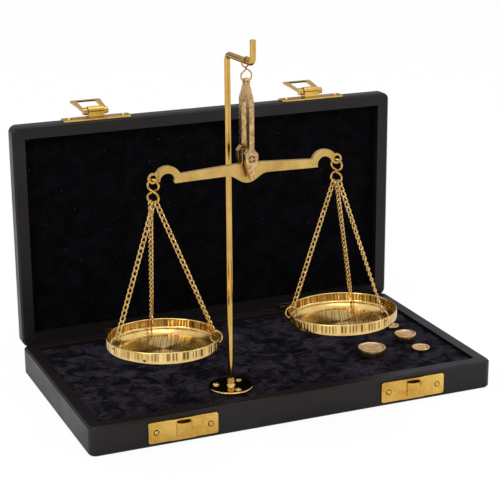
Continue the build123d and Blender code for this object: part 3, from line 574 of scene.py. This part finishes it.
stands_for(skinned("bent_post", [(rod, False, True, True)], rod_brass), "post")

# Mirror-polished flange: it throws back the dark lid and the bright boss.
mirror_brass = brass("mirror_polished_brass", "#ecce8c", "#d0a95e", (0.05, 0.1), 6, 1.5, 0.006)
FLANGE_R, FLANGE_T, BOSS_R, BOSS_H = 10.8, 1.2, 1.95, 3.6


def flange_profile():
    """Flange: flat foot, quarter-round edge, flat top, then a boss with two waists.

    The boss's radius is BOSS_R less 0.3 mm times the squared sine of one turn over its
    height, plus a flare of 0.35 mm that dies away above the foot.
    """
    t, soft = np.linspace(0, pi / 2, 6), 0.6
    edge = np.stack([FLANGE_R - soft + soft * np.cos(t), FLANGE_T - soft + soft * np.sin(t)], 1)
    up = np.linspace(0, 1, 22)
    swell = BOSS_R - 0.3 * np.sin(up * 2 * pi - 0.4) ** 2 + 0.35 * np.exp(-up * 14)
    boss = np.stack([swell, FLANGE_T + BOSS_H * up], 1)
    foot = [(0.5, 0), (5.0, 0), (FLANGE_R, 0)]
    top = [(r, FLANGE_T) for r in (8.0, 4.0, 2.8)]
    return np.concatenate([foot, edge, top, boss, [(POST_R * 0.9, FLANGE_T + BOSS_H)]])


flange = turned(flange_profile(), 96) + [POST_X, POST_Y, BED_Z]
stands_for(skinned("turned_flange", [(flange, False, True, True)], mirror_brass), "post_flange")


def screw_head(radius, height, slot):
    """Round screw head: a flat dome of revolution, sunk along a straight slot.

    The drop in the slot is 0.6 of the head's height where |y| is under half the slot.
    """
    t = np.linspace(0, 1, 8)
    arc = np.stack([radius * np.cos(t * pi / 2) ** 0.6, height * np.sin(t * pi / 2)], 1)
    rings = np.linspace(0.85, 0.05, 8)[:, None] * [[arc[-2, 0], 0]] + [[0, height]]
    head = turned(np.concatenate([[(radius * 0.3, -0.3), (radius, -0.02)], arc[:-1], rings]), 72)
    sunk = (np.abs(head[..., 1]) < slot / 2) & (head[..., 2] > height * 0.4)
    head[..., 2] = np.where(sunk, height * 0.4, head[..., 2])
    return head


SCREW_CIRCLE, SCREW_R, SCREW_H, SLOT_W, SLOT_SPIN = 7.2, 1.6, 0.7, 0.4, 2.3
screw_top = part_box("flange_screws")[1].z / MM
sheets = []
for turn in (37.0, 157.0, 277.0):
    spot = [POST_X + SCREW_CIRCLE * cos(radians(turn)), POST_Y + SCREW_CIRCLE * sin(radians(turn)),
            screw_top - SCREW_H]
    spin = radians(turn * SLOT_SPIN)
    axes = np.array([(cos(spin), sin(spin), 0), (-sin(spin), cos(spin), 0), (0, 0, 1)])
    sheets.append((screw_head(SCREW_R, SCREW_H, SLOT_W) @ axes + spot, False, True, True))
stands_for(skinned("flange_screw_heads", sheets, mirror_brass), "flange_screws")


# ---- S-hooks: figure-eight hooks of round brass wire.  The top one hangs on the crook,
# the two end ones in the beam's holes.
def s_hook(upper, lower, gap, radius):
    """Figure-eight hook in the X-Z plane with its lower loop about the origin.

    Each loop is an arc that leaves the shared diagonal at its tangent point and curls
    back beside it; over the last part of the arc the free end moves a wire aside.
    """
    lean = acos((upper + lower) / gap)
    clear, curl = 2.3 * radius, 0.72
    runs = []
    for r, z, start, beside in ((upper, gap, -pi / 2 - lean, 1), (lower, 0.0, pi / 2 - lean, -1)):
        f = np.linspace(0, 1, 44)
        t = start - f * (2 * pi - 2 * lean)
        off = beside * clear * np.clip((f - curl) / (1 - curl), 0, 1)
        arc = np.stack([r * np.cos(t), off, z + r * np.sin(t)], 1)
        end = np.array([0, beside * clear, gap * lower / (upper + lower)])
        tail = arc[-1] + np.linspace(0, 1, 6)[1:, None] * (end - arc[-1])
        runs.append(np.concatenate([arc, tail]))
    path = np.concatenate([runs[0][::-1], runs[1]])
    return wire(path, radius, 12, np.tile([0.0, 1.0, 0.0], (len(path), 1)))


joints = {j["name"]: np.array(j["pos_m"]) / MM for j in frame["joints"] if "pos_m" in j}
hook_wire, loop, loop_gap = 0.475, 2.6, 5.8
top_wire, top_upper, top_lower, top_gap = 0.35, 2.2, 2.6, 6.1
top = s_hook(top_upper, top_lower, top_gap, top_wire) + joints["shears_swing"] + [0, 0, top_lower]
stands_for(skinned("top_s_hook", [(top, False, True, True)], rod_brass), "top_hook")
hook_turn = radians(-45.0)
aside = np.array([(cos(hook_turn), sin(hook_turn), 0), (-sin(hook_turn), cos(hook_turn), 0),
                  (0, 0, 1)])
for side, flip in (("left", 1), ("right", -1)):
    hook = s_hook(loop, loop, loop_gap, hook_wire) * [flip, 1, 1]
    hook = hook[:, ::flip] @ aside + joints[side + "_pan_swing"] + [0, 0, loop]
    hook = skinned(side + "_end_s_hook", [(hook, False, True, True)], rod_brass)
    stands_for(hook, side + "_end_hook")

# ---- Shears: one cast and filed yoke, eye on top, two bars and shield-shaped ends that
# carry the knife edge.  The casting is left a little hammered.
# Cast brass: dented all over by peen marks 1 mm across, with brown patches of 1.3 mm.
cast_brass = brass("hammered_cast_brass", "#dfbd88", "#8c6536", (0.16, 0.3), 1.3, 1.0, 0.16)
rounded("shears", cast_brass, 0.3)
rounded("knife_edge", cast_brass, 0.1)

# ---- Beam: cut from flat brass plate, filed bright on its faces, with swan-neck ends.
# Filed plate brass: bright gold, satin, with fine marks 0.9 mm apart.
beam_brass = brass("filed_plate_brass", "#cbaa64", "#b48f4e", (0.2, 0.3), 10, 0.9, 0.03)
rounded("beam", beam_brass, 0.2)


# ---- Pans: two dishes spun from brass sheet, the tool's chatter left as upright ribs on
# the wall, the floor turned bright.  Three jump rings through the rim take the chains.
PAN_R, PAN_H, PAN_WALL, STRIPE_TURN = 26.0, 7.2, 0.8, radians(23.0)
FLOOR_R, FLOOR_STEP, GROOVE_MM, GROOVE_H, PAN_TURNS = 18.7, 0.23, 1.15, 0.08, 600


def pan_brass():
    """Spun brass: a satin wall with painted brown streaks, a smooth shoulder and a turned floor.

    The brown streaks between the ribs and the stripes on the floor are painted reflection,
    read from a per-point attribute of the piece; the floor's turned grooves are in its shape
    and draw out what they reflect.  Brown pits stand about 13 mm apart.
    """
    made, tree = started("spun_pan_brass")
    place = add(tree, "TexCoord").outputs["Object"]
    stain = add(tree, "TexNoise", {"Vector": place, "Scale": per(7), "Detail": 7.0,
                                   "Roughness": 0.7})
    even = add(tree, "MapRange", {"Value": stain.outputs["Fac"], "From Min": 0.4, "From Max": 0.7})
    tint = add(tree, "Mix", {0: even.outputs["Result"], 6: linear("#eccb84"), 7: linear("#cfa75a")},
               data_type="RGBA")
    streak = add(tree, "Attribute", attribute_name="streak")
    # Painted reflection: brown where the per-point attribute is high.
    reflection_streaked = add(tree, "Mix", {0: streak.outputs["Fac"], 6: tint.outputs[2], 7: linear("#4a2f1c")},
                 data_type="RGBA")
    pits = add(tree, "TexVoronoi", {"Vector": place, "Scale": per(13)})
    pit = add(tree, "MapRange", {"Value": pits.outputs["Distance"], "From Min": 0.045,
                                 "From Max": 0.075, "To Min": 0.9, "To Max": 0.0})
    spotted = add(tree, "Mix", {0: pit.outputs["Result"], 6: reflection_streaked.outputs[2],
                                7: linear("#3a280f")}, data_type="RGBA")
    gloss = add(tree, "MapRange", {"Value": stain.outputs["Fac"], "From Min": 0.3, "From Max": 0.7,
                                   "To Min": 0.13, "To Max": 0.2})
    marks = add(tree, "TexNoise", {"Vector": place, "Scale": per(0.9), "Detail": 4.0})
    dent = add(tree, "Bump", {"Height": marks.outputs["Fac"], "Strength": 0.4,
                              "Distance": 0.012 * MM})
    shaded(tree, {"Base Color": spotted.outputs[2], "Metallic": 1.0,
                  "Roughness": gloss.outputs["Result"], "Normal": dent.outputs["Normal"]})
    return made


def dish(seed):
    """Spun dish about its rim's middle, and the painted reflection of each point.

    The profile is a flat bottom, a shoulder, a quarter round, the outer wall, a rounded
    lip, the inner wall, a cove, a shoulder that falls steeply at first and runs out flat,
    and a floor with turned grooves: a sine of the radius, 1.15 mm apart and 0.08 mm high.
    On the upright walls the radius moves by about 0.1 mm as a sum of sines of the angle,
    and the painted reflection, brown streaks along the ribs, rises and falls with the same
    sum times a slower swing.  On the floor the painted reflection, the drawn-out image of the
    ribbed wall, is a sum of sines across straight stripes in a middle band, which gives way
    to the grooves towards both sides.
    """
    t = np.linspace(0, pi / 2, 9)
    flat, slope, foot, cove, lip = 18.2, 1.4, 2.2, 1.3, PAN_WALL / 2
    run, fall, rib, band, fade = 4.9, 1.9, 0.035, 8.0, 5.0
    inner, under, ring = PAN_R - PAN_WALL, 1.4 - PAN_H, 2.7 - PAN_H
    bottom = [(r, -PAN_H) for r in np.linspace(0.5, flat, 8)] + [(21.0, under - slope * 0.48)]
    outer = np.stack([PAN_R - foot + foot * np.sin(t), under + foot - foot * np.cos(t)], 1)
    rim = np.stack([PAN_R - lip + lip * np.cos(2 * t), -lip + lip * np.sin(2 * t)], 1)
    inside = np.stack([inner - cove + cove * np.cos(t[:-2]),
                       ring + cove - cove * np.sin(t[:-2])], 1)
    u = np.linspace(0.08, 1, 9)
    shoulder = np.stack([inner - cove - run * u, ring - fall * (1 - (1 - u) ** 1.5)], 1)
    r = np.arange(FLOOR_R, 0.4, -FLOOR_STEP)
    groove = GROOVE_H * np.sin(2 * pi * r / GROOVE_MM) * np.clip((FLOOR_R - r) / 0.6, 0, 1)
    floor = np.stack([r, PAN_WALL - PAN_H + groove], 1)
    levels = (-3.0, -2.2, -1.5, -0.9)
    profile = np.concatenate([bottom, outer, [(PAN_R, z) for z in levels], rim,
                              [(inner, z) for z in levels[::-1]], inside, shoulder, floor])
    grid = turned(profile, PAN_TURNS)
    angle = np.linspace(0, 2 * pi, PAN_TURNS, endpoint=False)
    chance = np.random.default_rng(seed)
    ribs = sum(chance.uniform(0.4, 1) * np.sin(n * angle + chance.uniform(0, 2 * pi))
               for n in (23, 37, 52, 71, 88, 104, 121))
    upright = np.clip((profile[:, 0] - (inner - 0.5)) / 0.4, 0, 1)
    upright *= np.clip((profile[:, 1] + 4.3) / 0.8, 0, 1)
    upright *= np.clip(-(profile[:, 1] + 0.25) / 0.3, 0, 1)
    grow = 1 + rib * np.outer(upright, ribs) / profile[:, :1]
    swing = 0.5 + 0.5 * np.sin(3 * angle + chance.uniform(0, 2 * pi))
    # Painted reflection on the upright walls: brown streaks that follow the ribs.
    streak = np.outer(upright, np.clip(ribs * 0.42 + 0.42, 0.08, 0.92) * (0.7 + 0.3 * swing))
    # Painted reflection on the floor: straight stripes in a middle band, arcs along the grooves at
    # the sides.
    across = grid[..., 0] * cos(STRIPE_TURN) - grid[..., 1] * sin(STRIPE_TURN)
    floor_stripes = sum(chance.uniform(0.5, 1) * np.sin(2 * pi * across / mm + chance.uniform(0, 2 * pi))
                  for mm in (0.95, 1.2, 1.55, 2.1, 3.4))
    aside = np.clip((np.abs(across) - band) / fade, 0, 1)
    grooves = np.sin(2 * pi * np.hypot(grid[..., 0], grid[..., 1]) / GROOVE_MM + 1.0)
    floor_reflection = np.clip(0.1 + 0.26 * floor_stripes * (1 - aside) + 0.34 * grooves * aside, 0, 0.55)
    streak[-len(r):] = floor_reflection[-len(r):]
    return grid * np.stack([grow, grow, np.ones_like(grow)], -1), streak


spun_brass = pan_brass()
# Degrees of lean, and the rim's middle in millimetres from where the pan hangs.
pan_lean, pan_tilt, pan_seed = -2.3, {"left": 0.8, "right": -0.8}, {"left": 5, "right": 11}
below_hook = [2.4, -2.2, -61.3]
pan_frames = {}
for side in ("left", "right"):
    a, b = radians(pan_lean), radians(pan_tilt[side])
    lean = np.array([(1, 0, 0), (0, cos(a), -sin(a)), (0, sin(a), cos(a))])
    tip = np.array([(cos(b), 0, sin(b)), (0, 1, 0), (-sin(b), 0, cos(b))])
    centre = joints[side + "_pan_swing"] + below_hook
    pan_frames[side] = (lean @ tip, centre)
    grid, streak = dish(pan_seed[side])
    grid = grid @ (lean @ tip).T + centre
    pan = skinned(side + "_spun_pan", [(grid, False, True, True)], spun_brass)
    painted(pan, "streak", np.concatenate([streak.ravel(), [0.0, 0.0]]))
    stands_for(pan, side + "_pan")

# ---- Chains: curb chain of round brass wire, each link an oval twisted a quarter turn,
# six runs from the lower loops of the end hooks to the jump rings in the rims.
# Drawn chain brass: gold, with brown patches shorter than a link.
link_brass = brass("drawn_chain_brass", "#ecca86", "#a98449", (0.16, 0.3), 1.6, 0.5, 0.015)
# Millimetres, but for the chains' spread on a hook's loop and the rim holes' angles, in degrees.
LINK_WIRE, LINK_HALF_W, RING_R, RING_WIRE, PLAY, LINK_PLAY = 0.33, 0.88, 2.7, 0.35, 0.06, 0.1
LINK_PITCH, LINK_SLACK, HOLE_DROP, SPREAD = 2.56, 0.08, 1.8, 34.0
rim_holes = {"left": (-35.0, 83.0, 192.0), "right": (-64.0, 54.0, 171.0)}


def unit(v):
    """A vector divided by its length."""
    return v / np.linalg.norm(v)


def curb_link(half):
    """Wire rings of one curb link along Z.

    The outline is a squarish oval, half long and LINK_HALF_W wide each way, whose
    width turns a quarter from end to end.
    """
    t = 2 * pi * np.arange(18) / 18
    s = half * np.sign(np.cos(t)) * np.abs(np.cos(t)) ** 0.62
    w = LINK_HALF_W * np.sign(np.sin(t)) * np.abs(np.sin(t)) ** 0.62
    a = pi / 4 * s / half
    path = np.stack([w * np.cos(a), w * np.sin(a), s], 1)
    return wire(path, LINK_WIRE, 7, path)


for side in ("left", "right"):
    turned_by, centre = pan_frames[side]
    hang = joints[side + "_pan_swing"]
    order = sorted(rim_holes[side], key=lambda angle: cos(radians(angle) - hook_turn))
    rings = []
    for letter, angle in zip("abc", rim_holes[side]):
        # Each chain has its own place on the loop, in the order of the holes along it.
        place = radians((order.index(angle) - 1) * SPREAD)
        along = np.array([cos(hook_turn), sin(hook_turn), 0])
        top = hang + along * loop * sin(place) + [0, 0, loop * (1 - cos(place))]
        bar = np.append(along[:2] * cos(place), sin(place))
        out = np.array([cos(radians(angle)), sin(radians(angle)), 0])
        hole = turned_by @ (out * (PAN_R - PAN_WALL / 2) - [0, 0, HOLE_DROP]) + centre
        pull = unit(top - hole)
        out = unit(out - pull * (out @ pull))
        t = 2 * pi * np.arange(36)[:, None] / 36
        ring = hole + pull * RING_R + RING_R * (pull * np.cos(t) + out * np.sin(t))
        ring = wire(ring, RING_WIRE, 10, np.tile(np.cross(pull, out), (len(t), 1)))
        rings.append((ring, True, True, False))
        # Links as near to LINK_PITCH as fill the run from the hook's wire to the ring's.
        end = hole + pull * 2 * RING_R
        down = unit(end - top)
        room = np.linalg.norm(end - top) + RING_WIRE + hook_wire + 2 * LINK_WIRE + PLAY + LINK_PLAY
        count = round((room - 2 * LINK_WIRE) / LINK_PITCH)
        half = (room + (count - 1) * (2 * LINK_WIRE + LINK_SLACK)) / (2 * count)
        step = 2 * half - 2 * LINK_WIRE - LINK_SLACK
        first = half - hook_wire - LINK_WIRE - LINK_PLAY
        # The twist from the first link, on the hook, to the last, on its ring, is shared out.
        x_dir = unit(np.cross(bar, down))
        y_dir = np.cross(down, x_dir)
        last = np.cross(out, down)
        sweep = degrees(atan2(last @ y_dir, last @ x_dir)) - 90.0
        sweep = (sweep + 90.0) % 180.0 - 90.0
        roll = np.radians(45.0 + sweep * np.arange(count) / (count - 1))
        link = curb_link(half)
        links = []
        for i in range(count):
            u = x_dir * cos(roll[i]) + y_dir * sin(roll[i])
            v = y_dir * cos(roll[i]) - x_dir * sin(roll[i])
            laid = link @ np.array([u, v, down]) + top + down * (first + step * i)
            links.append((laid, True, True, False))
        chain = skinned(side + "_curb_chain_" + letter, links, link_brass)
        stands_for(chain, side + "_chain_" + letter)
    stands_for(skinned(side + "_jump_rings", rings, link_brass), side + "_pan_rings")


# ---- Weights: four round brass weights, turned, with a raised lip round a dished top.
# They lie loose on the bed; each takes its place and size from its CAD node.
def pale_brass():
    """Turned pale brass: pinkish gold, the pitted top matt like sand casting, the side polished."""
    made, tree = started("pale_turned_brass")
    place = add(tree, "TexCoord").outputs["Object"]
    stain = add(tree, "TexNoise", {"Vector": place, "Scale": per(3), "Detail": 6.0,
                                   "Roughness": 0.7})
    even = add(tree, "MapRange", {"Value": stain.outputs["Fac"], "From Min": 0.4, "From Max": 0.66})
    tint = add(tree, "Mix", {0: even.outputs["Result"], 6: linear("#e6c59a"), 7: linear("#b48c5e")},
               data_type="RGBA")
    marks = add(tree, "TexNoise", {"Vector": place, "Scale": per(0.9), "Detail": 5.0})
    dent = add(tree, "Bump", {"Height": marks.outputs["Fac"], "Strength": 0.6,
                              "Distance": 0.12 * MM})
    upward = add(tree, "SeparateXYZ", {0: add(tree, "NewGeometry").outputs["Normal"]})
    matt = add(tree, "MapRange", {"Value": upward.outputs["Z"], "From Min": 0.6, "From Max": 0.95,
                                  "To Min": 0.22, "To Max": 0.62})
    shaded(tree, {"Base Color": tint.outputs[2], "Metallic": 1.0,
                  "Roughness": matt.outputs["Result"], "Normal": dent.outputs["Normal"]})
    return made


def coin_weight(r, h, lip, dish_depth):
    """Weight profile: flat foot, upright wall with eased edges, a lip and a sunk top."""
    ease = 0.25
    return np.array([(0.3, 0), (r * 0.5, 0), (r - ease, 0), (r - ease * 0.3, ease * 0.3), (r, ease),
                     (r, h * 0.5), (r, h - ease), (r - ease * 0.3, h - ease * 0.3), (r - ease, h),
                     (r - lip, h), (r - lip - 0.12, h - 0.08), (r - lip - 0.3, h - dish_depth),
                     (r - lip - 0.6, h - dish_depth - 0.03), (r * 0.4, h - dish_depth),
                     (0.3, h - dish_depth)])


weight_metal = pale_brass()
WEIGHT_LIP, WEIGHT_DISH = 0.9, 0.35
for letter in "abcd":
    low, high = (np.array(v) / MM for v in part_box("weight_" + letter))
    size = high - low
    grid = turned(coin_weight(size[0] / 2, size[2], WEIGHT_LIP, WEIGHT_DISH), 72)
    grid = grid + [(low[0] + high[0]) / 2, (low[1] + high[1]) / 2, low[2]]
    weight = skinned("coin_weight_" + letter, [(grid, False, True, True)], weight_metal)
    stands_for(weight, "weight_" + letter)


# ---- Studio: a white sweep under and behind the case, with soft light from above and
# both sides.
def white_sweep():
    """Matt white paper.  To the camera it also glows, so it reads as white while it keeps
    the soft shadow of the case."""
    made, tree = started("matt_white_paper")
    place = add(tree, "TexCoord").outputs["Object"]
    tooth = add(tree, "TexNoise", {"Vector": place, "Scale": per(4), "Detail": 2.0})
    tone = add(tree, "Mix", {0: tooth.outputs["Fac"], 6: linear("#f6f6f6"), 7: linear("#fbfbfb")},
               data_type="RGBA")
    paper = add(tree, "BsdfDiffuse", {"Color": tone.outputs[2]})
    glow = add(tree, "Emission", {"Color": (1, 1, 1, 1), "Strength": 1.0})
    seen = add(tree, "LightPath")
    share = add(tree, "Math", {0: seen.outputs["Is Camera Ray"], 1: 0.94}, operation="MULTIPLY")
    mixed = add(tree, "MixShader", {0: share.outputs[0], 1: paper.outputs[0], 2: glow.outputs[0]})
    add(tree, "OutputMaterial", {"Surface": mixed.outputs[0]})
    return made


SWEEP_REACH, SWEEP_Z = 3000, -0.05
reach = np.linspace(-SWEEP_REACH, SWEEP_REACH, 3)
grid = np.stack(np.meshgrid(reach, reach) + [np.full((3, 3), SWEEP_Z)], -1)
sweep_floor = skinned("paper_sweep", [(grid, False, False, False)], white_sweep())
sweep_floor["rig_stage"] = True

world = bpy.data.worlds.new("white_room")
bpy.context.scene.world = world
world.use_nodes = True
tree = world.node_tree
tree.nodes.clear()
seen = add(tree, "LightPath")
toward = add(tree, "SeparateXYZ", {0: add(tree, "TexCoord").outputs["Generated"]})
height = add(tree, "MapRange", {"Value": toward.outputs["Z"], "From Min": 0.0, "From Max": 0.7,
                                "To Min": 0.12, "To Max": 0.95})
room = add(tree, "Background", {"Color": (1, 1, 1, 1), "Strength": height.outputs["Result"]})
white = add(tree, "Background", {"Color": (1, 1, 1, 1), "Strength": 1.0})
mixed = add(tree, "MixShader", {0: seen.outputs["Is Camera Ray"], 1: room.outputs[0],
                                2: white.outputs[0]})
add(tree, "OutputWorld", {"Surface": mixed.outputs[0]})


def softbox(name, at, aim, size, power):
    """Square soft light at a place in metres, turned to face a point."""
    lamp = bpy.data.lights.new(name, "AREA")
    lamp.size = size
    lamp.energy = power
    made = bpy.data.objects.new(name, lamp)
    made.location = at
    made.rotation_mode = "QUATERNION"
    made.rotation_quaternion = (Vector(aim) - Vector(at)).to_track_quat("-Z", "Y")
    bpy.context.scene.collection.objects.link(made)


softbox("key_softbox", (-0.95, -0.55, 0.8), (0, 0, 0.08), 0.6, 5.0)
softbox("fill_softbox", (0.9, -0.6, 0.6), (0, 0, 0.08), 0.7, 2.0)
softbox("top_softbox", (0.1, 0.1, 1.2), (0, 0, 0.05), 0.7, 2.4)

# ---- Camera: a longer lens from the front left, a little above the case.  Its place,
# turn and focal length were fitted to the case's edges in the photo.
SENSOR_MM, FOCAL_PX, PICTURE_PX, EYE = 36.0, 1539, 500, (-0.2846, -0.6746, 0.2964)
yaw, pitch, roll = radians(22.76), radians(17.24), radians(-0.41)
ahead = Vector((sin(yaw) * cos(pitch), cos(yaw) * cos(pitch), -sin(pitch)))
level = Vector((cos(yaw), -sin(yaw), 0))
above = level.cross(ahead)
right = level * cos(roll) + above * sin(roll)
upward = above * cos(roll) - level * sin(roll)
lens = bpy.data.cameras.new("camera")
lens.sensor_width = SENSOR_MM
lens.lens = SENSOR_MM * FOCAL_PX / PICTURE_PX
lens.clip_start, lens.clip_end = 0.01, 20.0
camera = bpy.data.objects.new("camera", lens)
facing_in = Matrix((right, upward, -ahead)).transposed().to_4x4()
camera.matrix_world = Matrix.Translation(EYE) @ facing_in
bpy.context.scene.collection.objects.link(camera)
bpy.context.scene.camera = camera
bpy.context.scene.view_settings.view_transform = "Standard"

low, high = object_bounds()
